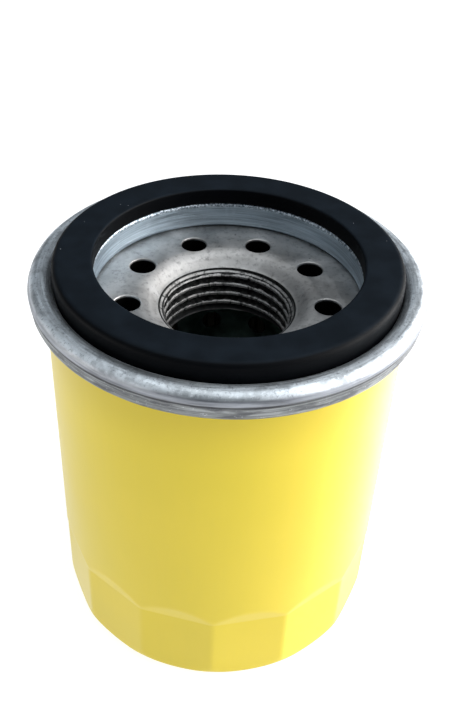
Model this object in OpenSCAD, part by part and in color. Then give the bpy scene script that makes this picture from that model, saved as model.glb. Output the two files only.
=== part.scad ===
// Spin-on oil filter for a small engine.
// It stands on its closed end: the base is at z = 0 and the gasket faces +Z.
// Every sheet-metal part is a path of its mid-line, thickened and turned round the Z axis.

/* [Can] */
// Height from the base to the top of the gasket
total_h = 61.6; // [60:0.1:70]
// Outer diameter of the can's wall
can_d = 49.7; // [49.7:0.1:49.9]
// Thickness of the can's sheet
can_t = 0.5; // [0.4:0.05:0.5]
// Number of wrench flats round the closed end
flats = 14; // [12:1:16]
// Diameter across the corners of the wrench flats
corner_d = 49.6; // [49:0.1:49.6]
// Height of the corners between the wrench flats
flat_h = 13.6; // [10:0.1:14]
// Radius of the edge round the base
base_edge_r = 3; // [1.5:0.1:3.2]
// Depth of the recessed panel in the base
panel_depth = 0.9; // [0.6:0.1:1.2]

/* [Lid and seam] */
// Thickness of the lid's sheet
lid_t = 0.65; // [0.55:0.05:0.7]
// Inner diameter of the lid's upturned lip
lip_d = 36.85; // [36:0.05:37.5]
// Height of the lip above the tapping plate
lip_h = 4.05; // [3.6:0.05:4.3]
// Outer diameter of the rim's bead
rim_d = 54.1; // [53.9:0.1:54.3]
// Height of the rim's crown above the tapping plate
crown_h = 4.5; // [4.4:0.05:4.6]
// Height of the seam's lower edge above the tapping plate
seam_foot_h = 0.45; // [0.4:0.01:1]

/* [Tapping plate] */
// Depth of the plate's top below the top of the gasket
well_depth = 6.6; // [6.2:0.1:7]
// Thickness of the plate
plate_t = 2.6; // [2.2:0.1:2.8]
// Major diameter of the stud thread
thread_d = 19.05; // [18.8:0.05:19.2]
// Minor diameter of the stud thread
thread_minor_d = 17.5; // [17.3:0.05:17.7]
// Pitch of the stud thread
thread_pitch = 1.5875; // [1.5:0.0125:1.6]
// Depth of the hub's lower end below the plate's top
hub_depth = 8.8; // [8.5:0.1:9]
// Outer diameter of the hub
hub_d = 22; // [21.8:0.1:22.1]
// Number of oil inlet holes
inlet_count = 9; // [6:1:10]
// Diameter of an inlet hole
inlet_d = 3.75; // [3:0.05:4]
// Diameter of the circle the inlet holes lie on
inlet_pcd = 28; // [27.6:0.1:28.4]
// Turn of the first inlet hole from the +X axis
inlet_turn = 72.5; // [0:0.5:90]

/* [Gasket] */
// Outer diameter of the gasket's face
gasket_d = 47.5; // [47.1:0.1:47.6]
// Inner diameter of the gasket's face
gasket_bore_d = 36.6; // [36.4:0.1:37.4]
// Radius of the gasket's outer top edge
gasket_edge_r = 0.9; // [0.5:0.1:1.2]

/* [Filter element] */
// Outer diameter of the end caps
cap_d = 43.8; // [43.4:0.1:44.4]
// Thickness of the end caps' sheet
cap_t = 0.4; // [0.3:0.05:0.4]
// Outer diameter of the perforated centre tube
tube_d = 23.8; // [23.7:0.05:23.85]
// Number of pleats in the paper
pleats = 48; // [36:1:48]
// Thickness of the paper
paper_t = 0.5; // [0.35:0.05:0.5]
// Number of holes in one row of the centre tube
tube_row_count = 10; // [7:1:11]
// Number of rows of holes in the centre tube
tube_rows = 6; // [2:1:6]
// Diameter of a hole in the centre tube
tube_hole_d = 3; // [2:0.1:3.2]

/* [Valves and springs] */
// Outer diameter of the drain-back valve's lip
drainback_d = 36; // [35.6:0.1:37]
// Wire diameter of the spring under the element
element_wire_d = 1.6; // [1.4:0.1:1.7]
// Mean diameter of the spring under the element
element_coil_d = 29; // [28.8:0.1:29.2]
// Wire diameter of the bypass spring
bypass_wire_d = 0.9; // [0.7:0.05:0.95]
// Mean diameter of the bypass spring
bypass_coil_d = 10; // [9.6:0.1:10.4]
// Diameter of the bypass valve's stem
stem_d = 3; // [2.8:0.1:3.2]

/* [Hidden] */
$fn = 96;
arc_steps = 8;
through = 1;
seam_gap = 0.05;
fit_gap = 0.05;

// Can
can_r = can_d / 2;
flat_r = corner_d / 2 * cos(180 / flats);
shoulder_slope = 75;
panel_r = 12.4;
panel_slope = 0.5;

// Levels of the closed-in top, measured up from the base
plate_z = total_h - well_depth;
plate_under_z = plate_z - plate_t;
floor_z = plate_z + lid_t / 2;
floor_top_z = plate_z + lid_t;
lip_z = plate_z + lip_h;
crown_z = plate_z + crown_h - lid_t / 2;
chuck_bend_r = 1.275;
bend_z = crown_z - chuck_bend_r;
hub_z = plate_z - hub_depth;

// Mid-line radii of the five layers of the double seam, from the inside out
chuck_r = can_r - can_t - seam_gap - lid_t / 2;
wall_r = can_r - can_t / 2;
cover_hook_r = can_r + seam_gap + lid_t / 2;
body_hook_r = cover_hook_r + lid_t / 2 + seam_gap + can_t / 2;
band_r = body_hook_r + can_t / 2 + seam_gap + lid_t / 2;
bead_r = rim_d / 2 - lid_t / 2;
hook_bend_r = (body_hook_r - wall_r) / 2;
curl_r = (band_r - cover_hook_r) / 2;
crown_bend_r = 1.2;
bead_foot_z = bend_z - 0.2;
groove_bend_r = 0.7;
lip_r = lip_d / 2 + lid_t / 2;
curl_z = plate_z + seam_foot_h + lid_t / 2 + curl_r;

// Tapping plate, whose edge lies inside the chuck wall
plate_r = chuck_r - 0.6;

// Thread: annular V grooves with flat crests and roots
thread_r = thread_d / 2;
minor_r = thread_minor_d / 2;
mouth_bend_r = 2.6;
mouth_bend_centre_r = 12.55;
mouth_angle = 171;
groove_root = thread_pitch / 8;
groove_half = groove_root / 2 + (thread_r - minor_r) * tan(30);
groove_count = 4;
first_groove_z = plate_z - 3.1;
hub_chamfer = 0.2;
hub_fillet_r = 1;

// Filter element
tube_r = tube_d / 2;
tube_t = 0.4;
lower_cap_z = 9.6;
lower_face_z = lower_cap_z + cap_t;
upper_face_z = plate_z - 9.8;
cap_r = cap_d / 2;
skirt_h = 2.4;
collar_r = hub_d / 2 + 1;
collar_z = upper_face_z + 2.6;
potting_h = 1.2;
potting_r = cap_r - cap_t - 0.1;
media_z = lower_face_z + potting_h;
media_h = upper_face_z - lower_face_z - 2 * potting_h;
media_outer_r = cap_r - cap_t - 0.75;
media_inner_r = tube_r + 0.5;
inner_fold_half = PI * media_inner_r / pleats / 2;
outer_fold_half = 0.45;
tube_hole_top_z = plate_z - 12.6;
tube_hole_turn = 65.5;
tube_row_gap = 5;
clip_t = 0.3;
clip_half = outer_fold_half + paper_t / 2 + 0.1;
clip_reach = media_outer_r + paper_t / 2 + fit_gap + clip_t;
clip_depth = 2.4;
clip_end_gap = 0.2;

// Bypass valve
seat_flange_r = tube_r - tube_t - 0.3;
seat_t = 0.5;
bead_top_z = lower_face_z + 1.3;
seal_z = bead_top_z + fit_gap;
seal_h = 1.2;
seal_r = 8;
poppet_r = 7.8;
poppet_z = seal_z + seal_h;
poppet_t = 0.7;
stem_r = stem_d / 2;
stem_z = seal_z - 0.5;
stem_h = 10.6;
rivet_r = 3;
cage_t = 0.4;
cage_r = 9.4;
cage_foot_z = lower_face_z + seat_t;
cage_top_z = cage_foot_z + 10.2;
window_w = 6;
window_h = 6;

// Springs
base_floor_z = can_t;
spring_seat_t = 0.5;
spring_seat_z = lower_cap_z - spring_seat_t;
spring_seat_r = 17;
spring_seat_lip_r = 12.9;
element_spring_h = spring_seat_z - base_floor_z;
element_turns = 3.5;
bypass_spring_z = poppet_z + poppet_t;
bypass_spring_h = cage_top_z - cage_t - bypass_spring_z;
bypass_turns = 5;
wire_sides = 8;
wire_steps = 20;

// Points of an arc in the (r, z) plane, from angle a0 to angle a1
function arc(centre_r, centre_z, r, a0, a1) =
    [for (i = [0 : arc_steps])
        let (a = a0 + (a1 - a0) * i / arc_steps)
        [centre_r + r * cos(a), centre_z + r * sin(a)]];

function side_normal(a, b) = let (d = (b - a) / norm(b - a)) [-d[1], d[0]];

// Offset direction of point i of a path, mitred between its two edges
function mitre(path, i) =
    let (
        last = len(path) - 1,
        before = side_normal(path[max(i - 1, 0)], path[max(i, 1)]),
        after = side_normal(path[min(i, last - 1)], path[min(i + 1, last)])
    )
    (before + after) / (1 + before * after);

function shifted(path, d) = [for (i = [0 : len(path) - 1]) path[i] + d * mitre(path, i)];

function backwards(path) = [for (i = [len(path) - 1 : -1 : 0]) path[i]];

// A sheet of thickness t that follows a mid-line path, turned round the Z axis
module turned_sheet(path, t) {
    rotate_extrude()
        polygon(concat(shifted(path, t / 2), backwards(shifted(path, -t / 2))));
}

// A flat ring
module ring(outer_r, inner_r, z, h) {
    translate([0, 0, z])
        difference() {
            cylinder(r = outer_r, h = h);
            translate([0, 0, -through])
                cylinder(r = inner_r, h = h + 2 * through);
        }
}

// Height of a closed-end coil's wire at turn s: the end turns lie close, the rest is spread
function coil_height(s, turns, free, wire) =
    let (
        close = wire * 1.03,
        spread = (free - 2 * close) / (turns - 2)
    )
    s < 1 ? s * close
        : s > turns - 1 ? free - (turns - s) * close
        : close + (s - 1) * spread;

// A coil spring of round wire, standing on z = 0
module coil_spring(mean_r, wire, h, turns) {
    steps = round(turns * wire_steps);
    points = [for (i = [0 : steps])
        let (
            s = i / wire_steps,
            a = 360 * s,
            z = wire / 2 + coil_height(s, turns, h - wire, wire)
        )
        for (k = [0 : wire_sides - 1])
            let (
                b = 360 * k / wire_sides,
                r = mean_r + wire / 2 * cos(b)
            )
            [r * cos(a), r * sin(a), z + wire / 2 * sin(b)]];
    skin = [for (i = [0 : steps - 1])
        for (k = [0 : wire_sides - 1])
            let (
                n = (k + 1) % wire_sides,
                a = i * wire_sides,
                b = a + wire_sides
            )
            [a + k, a + n, b + n, b + k]];
    start_face = [for (k = [wire_sides - 1 : -1 : 0]) k];
    end_face = [for (k = [0 : wire_sides - 1]) steps * wire_sides + k];
    polyhedron(points, concat(skin, [start_face], [end_face]));
}

// The can's closed end as a solid: a turned cup with the wrench flats cut from it.
// The inset shrinks it by the sheet's thickness, for the inside.
module can_end(inset) {
    r = can_r - inset;
    edge = base_edge_r - inset;
    edge_r = corner_d / 2 - base_edge_r;
    cut_top_z = flat_h + inset;
    cut_depth = can_r;
    difference() {
        rotate_extrude()
            polygon(concat(
                [[0, inset]],
                arc(edge_r, base_edge_r, edge, -90, 0),
                [[r, flat_h], [r, bend_z], [0, bend_z]]
            ));
        for (i = [0 : flats - 1])
            rotate([0, 0, (i + 0.5) * 360 / flats - 90])
                translate([flat_r - inset, can_r, 0])
                    rotate([90, 0, 0])
                        linear_extrude(can_d)
                            polygon([
                                [0, -through],
                                [0, cut_top_z],
                                [cut_depth, cut_top_z + cut_depth * tan(shoulder_slope)],
                                [cut_depth, -through]
                            ]);
    }
}

// The recessed panel in the middle of the base
module base_panel(z, grow) {
    translate([0, 0, z])
        rotate_extrude()
            polygon([
                [0, -through],
                [panel_r + grow + through * panel_slope, -through],
                [panel_r + grow - panel_depth * panel_slope, panel_depth],
                [0, panel_depth]
            ]);
}

module can_shell() {
    color("gold") {
        difference() {
            can_end(0);
            difference() {
                can_end(can_t);
                base_panel(can_t, can_t);
            }
            base_panel(0, 0);
            translate([0, 0, bend_z - through])
                cylinder(r = can_r - can_t, h = 2 * through);
        }
        turned_sheet(concat(
            [[wall_r, bend_z - through / 2]],
            arc(wall_r + hook_bend_r, bend_z, hook_bend_r, 180, 0),
            [[body_hook_r, curl_z + 0.25]]
        ), can_t);
    }
}

module seaming_lid() {
    color("silver")
        turned_sheet(concat(
            [[lip_r, lip_z]],
            arc(lip_r + groove_bend_r, floor_z + groove_bend_r, groove_bend_r, 180, 270),
            arc(chuck_r - groove_bend_r, floor_z + groove_bend_r, groove_bend_r, 270, 360),
            arc(chuck_r + chuck_bend_r, bend_z, chuck_bend_r, 180, 90),
            arc(bead_r - crown_bend_r, crown_z - crown_bend_r, crown_bend_r, 90, 0),
            [[band_r, bead_foot_z]],
            arc(body_hook_r, curl_z, curl_r, 0, -180),
            [[cover_hook_r, bend_z + 0.1]]
        ), lid_t);
}

// Compound in the pocket between the can's bend and the crown's outer corner
module seam_sealant() {
    can_bend_r = hook_bend_r + can_t / 2 + seam_gap / 2;
    corner_r = crown_bend_r - lid_t / 2 - seam_gap / 2;
    color("dimgray")
        rotate_extrude()
            polygon(concat(
                arc(bead_r - crown_bend_r, crown_z - crown_bend_r, corner_r, 14, 90),
                arc(wall_r + hook_bend_r, bend_z, can_bend_r, 80, 22)
            ));
}

// Cutting profile of one annular thread groove, centred on z = 0
module groove_profile() {
    polygon([
        [0, -groove_half],
        [minor_r, -groove_half],
        [thread_r, -groove_root / 2],
        [thread_r, groove_root / 2],
        [minor_r, groove_half],
        [0, groove_half]
    ]);
}

module tapping_plate() {
    mouth = arc(mouth_bend_centre_r, plate_z - mouth_bend_r, mouth_bend_r, 90, mouth_angle);
    mouth_edge = mouth[arc_steps];
    color("lightgray")
        difference() {
            rotate_extrude()
                polygon(concat(
                    [[plate_r, plate_under_z], [plate_r, plate_z]],
                    mouth,
                    [
                        [minor_r, mouth_edge[1] - (mouth_edge[0] - minor_r)],
                        [minor_r, hub_z + hub_chamfer],
                        [minor_r + hub_chamfer, hub_z],
                        [hub_d / 2, hub_z]
                    ],
                    arc(hub_d / 2 + hub_fillet_r, plate_under_z - hub_fillet_r, hub_fillet_r, 180, 90)
                ));
            for (i = [0 : groove_count - 1])
                translate([0, 0, first_groove_z - i * thread_pitch])
                    rotate_extrude()
                        groove_profile();
            for (i = [0 : inlet_count - 1])
                rotate([0, 0, inlet_turn + i * 360 / inlet_count])
                    translate([inlet_pcd / 2, 0, plate_under_z - through])
                        cylinder(d = inlet_d, h = plate_t + 2 * through);
        }
}

module sealing_gasket() {
    outer_r = gasket_d / 2;
    inner_r = gasket_bore_d / 2;
    groove_outer_r = chuck_r - lid_t / 2 - 0.15;
    groove_inner_r = lip_r + lid_t / 2 + 0.1;
    shoulder_z = lip_z + 0.1;
    foot = 0.45;
    inner_edge = 0.3;
    color("#20252b")
        rotate_extrude()
            polygon(concat(
                [
                    [groove_inner_r + foot, floor_top_z],
                    [groove_outer_r - foot, floor_top_z],
                    [groove_outer_r, floor_top_z + foot],
                    [groove_outer_r, bend_z + 0.4],
                    [outer_r, bend_z + 0.7]
                ],
                arc(outer_r - gasket_edge_r, total_h - gasket_edge_r, gasket_edge_r, 0, 90),
                [
                    [inner_r + inner_edge, total_h],
                    [inner_r, total_h - inner_edge],
                    [inner_r, shoulder_z],
                    [groove_inner_r, shoulder_z],
                    [groove_inner_r, floor_top_z + foot]
                ]
            ));
}

// One rubber moulding: a neck round the hub and a dished diaphragm under the inlet holes
module drainback_valve() {
    neck_in = hub_d / 2 + fit_gap;
    neck_out = collar_r - fit_gap;
    neck_top = plate_under_z - hub_fillet_r - 0.1;
    neck_foot = collar_z - 0.8;
    lip_out = drainback_d / 2;
    lip_top = plate_under_z - fit_gap;
    lip_w = 1.1;
    skin_t = 0.8;
    root_z = neck_top - 1.2;
    color("#3a2d28")
        rotate_extrude()
            polygon([
                [neck_in, neck_foot],
                [neck_out, neck_foot],
                [neck_out, root_z - skin_t],
                [lip_out - lip_w, lip_top - skin_t - 0.4],
                [lip_out, lip_top - skin_t],
                [lip_out, lip_top],
                [lip_out - lip_w, lip_top],
                [lip_out - lip_w - 0.3, lip_top - 0.4],
                [neck_out, root_z],
                [neck_out, neck_top],
                [neck_in, neck_top]
            ]);
}

module upper_end_cap() {
    color("burlywood")
        turned_sheet([
            [cap_r - cap_t / 2, upper_face_z - skirt_h],
            [cap_r - cap_t / 2, upper_face_z + cap_t / 2],
            [collar_r + cap_t / 2, upper_face_z + cap_t / 2],
            [collar_r + cap_t / 2, collar_z]
        ], cap_t);
}

module lower_end_cap() {
    inlet_r = seat_flange_r - 2;
    color("burlywood")
        turned_sheet([
            [inlet_r, lower_cap_z + cap_t / 2],
            [cap_r - cap_t / 2, lower_cap_z + cap_t / 2],
            [cap_r - cap_t / 2, lower_face_z + skirt_h]
        ], cap_t);
}

module centre_tube() {
    color("slategray")
        difference() {
            ring(tube_r, tube_r - tube_t, lower_face_z, upper_face_z + cap_t - lower_face_z);
            for (row = [0 : tube_rows - 1])
                for (i = [0 : tube_row_count - 1])
                    rotate([0, 0, tube_hole_turn + (i + (row % 2) / 2) * 360 / tube_row_count])
                        translate([tube_r - tube_t - through, 0, tube_hole_top_z - row * tube_row_gap])
                            rotate([0, 90, 0])
                                cylinder(d = tube_hole_d, h = tube_t + 2 * through);
        }
}

// A point at a radius and angle, moved sideways round the ring
function pleat_point(r, a, side) = r * [cos(a), sin(a)] + side * [-sin(a), cos(a)];

// One face of the paper: grow is half the paper's thickness outwards, or minus that inwards
function pleat_outline(grow) =
    let (step = 180 / pleats)
    [for (i = [0 : pleats - 1])
        let (a = 2 * i * step)
        each [
            pleat_point(media_inner_r + grow, a - step, inner_fold_half - grow),
            pleat_point(media_outer_r + grow, a, -outer_fold_half - grow),
            pleat_point(media_outer_r + grow, a, outer_fold_half + grow),
            pleat_point(media_inner_r + grow, a + step, grow - inner_fold_half)
        ]];

module pleated_media() {
    color("moccasin")
        translate([0, 0, media_z])
            linear_extrude(media_h)
                difference() {
                    polygon(pleat_outline(paper_t / 2));
                    polygon(pleat_outline(-paper_t / 2));
                }
}

// A folded strip over the outer fold that joins the paper's two ends
module media_seam_clip() {
    clip_h = media_h - 2 * clip_end_gap;
    color("darkgray")
        translate([clip_reach - clip_depth, 0, media_z + clip_end_gap])
            difference() {
                translate([0, -clip_half - clip_t, 0])
                    cube([clip_depth, 2 * (clip_half + clip_t), clip_h]);
                translate([-through, -clip_half, -through])
                    cube([clip_depth + through - clip_t, 2 * clip_half, clip_h + 2 * through]);
            }
}

module upper_potting() {
    color("ivory")
        ring(potting_r, tube_r + fit_gap, upper_face_z - potting_h, potting_h);
}

module lower_potting() {
    color("ivory")
        ring(potting_r, tube_r + fit_gap, lower_face_z, potting_h);
}

// A pressed ring with a raised bead that the rubber disc closes on
module bypass_seat() {
    flange_z = lower_face_z + seat_t / 2;
    bead_z = bead_top_z - seat_t / 2;
    color("silver")
        turned_sheet([
            [seat_flange_r, flange_z],
            [8.3, flange_z],
            [7.4, bead_z],
            [6.8, bead_z],
            [6.1, flange_z + 0.2]
        ], seat_t);
}

module bypass_seal() {
    color("#202020")
        ring(seal_r, stem_r, seal_z, seal_h);
}

module bypass_poppet() {
    color("gray") {
        translate([0, 0, stem_z])
            cylinder(r = stem_r, h = stem_h);
        translate([0, 0, stem_z])
            cylinder(r = rivet_r, h = seal_z - stem_z);
        translate([0, 0, poppet_z])
            cylinder(r = poppet_r, h = poppet_t);
    }
}

module bypass_spring() {
    color("lightsteelblue")
        translate([0, 0, bypass_spring_z])
            coil_spring(bypass_coil_d / 2, bypass_wire_d, bypass_spring_h, bypass_turns);
}

// An inverted cup with four windows; its top guides the valve's stem
module bypass_cage() {
    wall_mid_r = cage_r - cage_t / 2;
    top_mid_z = cage_top_z - cage_t / 2;
    foot_mid_z = cage_foot_z + cage_t / 2;
    color("silver")
        difference() {
            turned_sheet([
                [seat_flange_r, foot_mid_z],
                [wall_mid_r, foot_mid_z],
                [wall_mid_r, top_mid_z],
                [stem_r + fit_gap, top_mid_z]
            ], cage_t);
            for (i = [0 : 3])
                rotate([0, 0, i * 90])
                    translate([stem_r + 2, -window_w / 2, cage_foot_z + 1.6])
                        cube([cage_r, window_w, window_h]);
        }
}

module spring_seat() {
    ring_z = spring_seat_z + spring_seat_t / 2;
    lip_mid_r = spring_seat_lip_r + spring_seat_t / 2;
    color("darkgray")
        turned_sheet([
            [lip_mid_r, spring_seat_z - 0.9],
            [lip_mid_r, ring_z],
            [spring_seat_r, ring_z]
        ], spring_seat_t);
}

module element_spring() {
    color("lightsteelblue")
        translate([0, 0, base_floor_z])
            coil_spring(element_coil_d / 2, element_wire_d, element_spring_h, element_turns);
}

can_shell();
seaming_lid();
seam_sealant();
tapping_plate();
sealing_gasket();
drainback_valve();
upper_end_cap();
lower_end_cap();
centre_tube();
pleated_media();
media_seam_clip();
upper_potting();
lower_potting();
bypass_seat();
bypass_seal();
bypass_poppet();
bypass_spring();
bypass_cage();
spring_seat();
element_spring();
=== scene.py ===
from math import ceil, cos, pi, radians, sin, sqrt, tan

import bmesh
import bpy
import numpy as np
from mathutils import Matrix, Vector


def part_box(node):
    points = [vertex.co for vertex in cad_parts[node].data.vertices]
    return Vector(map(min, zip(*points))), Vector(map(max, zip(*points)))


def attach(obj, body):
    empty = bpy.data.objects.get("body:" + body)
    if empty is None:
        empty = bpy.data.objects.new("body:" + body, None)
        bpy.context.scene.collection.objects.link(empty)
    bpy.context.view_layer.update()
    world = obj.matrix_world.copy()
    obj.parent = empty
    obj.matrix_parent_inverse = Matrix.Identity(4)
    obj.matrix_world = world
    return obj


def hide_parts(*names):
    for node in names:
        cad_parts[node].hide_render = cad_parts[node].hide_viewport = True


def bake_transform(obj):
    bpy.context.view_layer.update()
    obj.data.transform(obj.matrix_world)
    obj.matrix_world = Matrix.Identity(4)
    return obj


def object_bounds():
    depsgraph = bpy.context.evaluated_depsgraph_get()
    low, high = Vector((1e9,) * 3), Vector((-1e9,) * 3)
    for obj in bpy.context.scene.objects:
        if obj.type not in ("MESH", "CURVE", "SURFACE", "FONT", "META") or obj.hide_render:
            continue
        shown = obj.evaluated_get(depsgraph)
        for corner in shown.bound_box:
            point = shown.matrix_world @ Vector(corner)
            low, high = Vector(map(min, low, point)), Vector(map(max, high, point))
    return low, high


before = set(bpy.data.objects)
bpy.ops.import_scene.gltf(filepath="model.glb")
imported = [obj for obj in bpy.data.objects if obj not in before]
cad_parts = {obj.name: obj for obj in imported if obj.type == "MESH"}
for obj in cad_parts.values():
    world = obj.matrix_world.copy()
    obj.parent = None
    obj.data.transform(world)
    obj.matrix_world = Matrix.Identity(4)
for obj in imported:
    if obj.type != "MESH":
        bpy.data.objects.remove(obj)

cad_low, cad_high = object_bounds()
MM = 0.001

# ---------------------------------------------------------------- sizes from the frame

gasket_low, gasket_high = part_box("sealing_gasket")
lid_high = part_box("seaming_lid")[1]
plate_low, plate_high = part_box("tapping_plate")
valve_low, valve_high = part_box("drainback_valve")
tube_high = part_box("centre_tube")[1]
upper_cap_low, upper_cap_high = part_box("upper_end_cap")
lower_cap_low, lower_cap_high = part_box("lower_end_cap")
media_low, media_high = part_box("pleated_media")
seat_low, seat_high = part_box("bypass_seat")
seal_low, seal_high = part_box("bypass_seal")
poppet_low, poppet_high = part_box("bypass_poppet")
cage_low, cage_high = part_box("bypass_cage")
bypass_spring_low, bypass_spring_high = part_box("bypass_spring")
spring_seat_low, spring_seat_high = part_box("spring_seat")
spring_low, spring_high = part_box("element_spring")

TOP = gasket_high.z                    # face of the gasket
PLATE = plate_high.z                   # top of the tapping plate
HUB_FOOT = plate_low.z                 # lower end of the threaded hub
CROWN = lid_high.z                     # top of the rolled rim
RIM_R = lid_high.x                     # outside of the rim's bead
GASKET_R = gasket_high.x
SHEET = 0.65 * MM                      # thickness of the lid
SKIN = 0.5 * MM                        # thickness of the can
GAP = 0.05 * MM                        # between the layers of the seam
CAN_R = 24.85 * MM
LIP_R = 18.425 * MM                    # inside of the lid's upturned lip
LIP_TOP = PLATE + 4.05 * MM
HUB_R = 11.0 * MM
THREAD_R = 9.525 * MM                  # half the major diameter
MINOR_R = 8.75 * MM                    # half the minor diameter

# The layers of the seam, as mid-line radii from the inside out
WALL_R = CAN_R - SKIN / 2
CHUCK_R = CAN_R - SKIN - GAP - SHEET / 2
COVER_HOOK_R = CAN_R + GAP + SHEET / 2
BODY_HOOK_R = COVER_HOOK_R + SHEET / 2 + GAP + SKIN / 2
BAND_R = BODY_HOOK_R + SKIN / 2 + GAP + SHEET / 2
BEAD_R = RIM_R - SHEET / 2

CROWN_MID = CROWN - SHEET / 2
CHUCK_BEND_R = 1.275 * MM              # mid-line radii of the rim's inner and outer bends
CROWN_BEND_R = 1.2 * MM
BEND = CROWN_MID - CHUCK_BEND_R        # where the rim's bends start
SEAM_FOOT = PLATE + 0.45 * MM
STEP_Z = CROWN - 1.72 * MM             # groove between the bead and the seam's band


# ---------------------------------------------------------------- mesh helpers

def arc(centre_r, centre_z, r, start, end, steps=10):
    """Points of an arc in the (r, z) plane, between two angles in degrees."""
    angles = np.radians(np.linspace(start, end, steps + 1))
    return [(centre_r + r * cos(a), centre_z + r * sin(a)) for a in angles]


def line(start, end, steps):
    """Points along a straight stretch, without its first point."""
    return [(start[0] + (end[0] - start[0]) * i / steps, start[1] + (end[1] - start[1]) * i / steps)
            for i in range(1, steps + 1)]


def rounded(path, r, steps=5):
    """The open path with each inner corner turned into an arc of about radius r."""
    points = [np.array(p, float) for p in path]
    out = [tuple(points[0])]
    for before, corner, after in zip(points, points[1:], points[2:]):
        a, b = before - corner, after - corner
        reach = min(r, 0.45 * np.linalg.norm(a), 0.45 * np.linalg.norm(b))
        p = corner + a / np.linalg.norm(a) * reach
        q = corner + b / np.linalg.norm(b) * reach
        for t in np.linspace(0, 1, steps + 1):
            out.append(tuple((1 - t) ** 2 * p + 2 * t * (1 - t) * corner + t ** 2 * q))
    out.append(tuple(points[-1]))
    return out


def trimmed(p, length):
    """The open path without the first length of it."""
    while np.linalg.norm(p[1] - p[0]) <= length:
        length -= np.linalg.norm(p[1] - p[0])
        p = p[1:]
    start = p[0] + (p[1] - p[0]) / np.linalg.norm(p[1] - p[0]) * length
    return np.vstack([start, p[1:]])


def sheet(path, t, edge=4, trim=True):
    """Closed outline of a sheet of thickness t that follows a mid-line path, with round edges.
    The path is trimmed first, so that the edges end where it ends."""
    p = np.array(path, float)
    if trim:
        p = trimmed(trimmed(p, t / 2)[::-1], t / 2)[::-1]
    d = np.diff(p, axis=0)
    n = np.stack([-d[:, 1], d[:, 0]], 1) / np.linalg.norm(d, axis=1)[:, None]
    before = np.vstack([n[:1], n])
    after = np.vstack([n, n[-1:]])
    m = (before + after) / (1 + (before * after).sum(1))[:, None]
    left = p + m * t / 2
    right = (p - m * t / 2)[::-1]

    def cap(centre, normal):
        along = np.array([normal[1], -normal[0]])
        angles = np.linspace(0, pi, edge + 1)[1:-1]
        return [centre + t / 2 * (normal * cos(a) + along * sin(a)) for a in angles]

    return [tuple(q) for q in [*left, *cap(p[-1], n[-1]), *right, *cap(p[0], -n[0])]]


def new_object(name, verts, faces, smooth_angle=40):
    """A mesh object with smooth faces that stay sharp past an angle."""
    mesh = bpy.data.meshes.new(name)
    mesh.from_pydata([tuple(v) for v in verts], [], faces)
    mesh.validate()
    solid = bmesh.new()
    solid.from_mesh(mesh)
    if solid.calc_volume(signed=True) < 0:
        mesh.flip_normals()
    solid.free()
    mesh.update()
    obj = bpy.data.objects.new(name, mesh)
    bpy.context.scene.collection.objects.link(obj)
    smooth(obj, smooth_angle)
    return obj


def smooth(obj, angle=40):
    mesh = obj.data
    mesh.polygons.foreach_set("use_smooth", [True] * len(mesh.polygons))
    mesh.set_sharp_from_angle(angle=radians(angle))
    mesh.update()


def lathe(name, outline, segments=192, shape=None, smooth_angle=40):
    """Turns a closed (r, z) outline round the Z axis.
    A row on the axis is one point, and shape(angles, r, z, row) may change a row's radii and heights."""
    angles = np.arange(segments) * 2 * pi / segments
    verts, rows = [], []
    for row, (r, z) in enumerate(outline):
        if r < 1e-9:
            rows.append([len(verts)] * segments)
            verts.append((0, 0, z))
            continue
        radii, heights = np.full(segments, r), np.full(segments, z)
        if shape:
            radii, heights = shape(angles, radii, heights, row)
        rows.append(list(range(len(verts), len(verts) + segments)))
        verts.extend(zip(radii * np.cos(angles), radii * np.sin(angles), heights))
    faces = []
    for a, b in zip(rows, rows[1:] + rows[:1]):
        if a[0] == a[1] and b[0] == b[1]:
            continue
        for i in range(segments):
            k = (i + 1) % segments
            quad = [a[i], a[k], b[k], b[i]]
            faces.append([v for n, v in enumerate(quad) if v not in quad[:n]])
    return new_object(name, verts, faces, smooth_angle)


def evaluated(obj):
    """Applies an object's modifiers."""
    graph = bpy.context.evaluated_depsgraph_get()
    mesh = bpy.data.meshes.new_from_object(obj.evaluated_get(graph))
    obj.modifiers.clear()
    old = obj.data
    obj.data = mesh
    bpy.data.meshes.remove(old)


def cut(obj, cutters, smooth_angle=35):
    """Takes the cutters' volume out of obj and removes the cutters."""
    for cutter in cutters:
        modifier = obj.modifiers.new("cut", "BOOLEAN")
        modifier.operation = "DIFFERENCE"
        modifier.solver = "EXACT"
        modifier.object = cutter
        bpy.context.view_layer.update()
        evaluated(obj)
        bpy.data.objects.remove(cutter)
    smooth(obj, smooth_angle)


def soft_min(a, b, k):
    """The lower of a and b, rounded over where they are within k of each other."""
    h = np.clip(0.5 + 0.5 * (b - a) / k, 0, 1)
    return b + (a - b) * h - k * h * (1 - h)


def soft_max(a, b, k):
    """The higher of a and b, rounded over where they are within k of each other."""
    return -soft_min(-a, -b, k)


def wavy(angles, amount, turns=(3, 5, 8, 13), seed=1):
    """A slow random wave round the circle."""
    draw = np.random.default_rng(seed)
    total = np.zeros_like(angles)
    for n in turns:
        total += np.sin(n * angles + draw.uniform(0, 2 * pi)) / sqrt(n)
    return total * amount


def blurred(values, weights):
    """Values round a circle, each mixed with its neighbours."""
    n = len(values)
    return np.convolve(np.tile(values, 3), weights, "same")[n:2 * n]


# ---------------------------------------------------------------- material helpers

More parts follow.
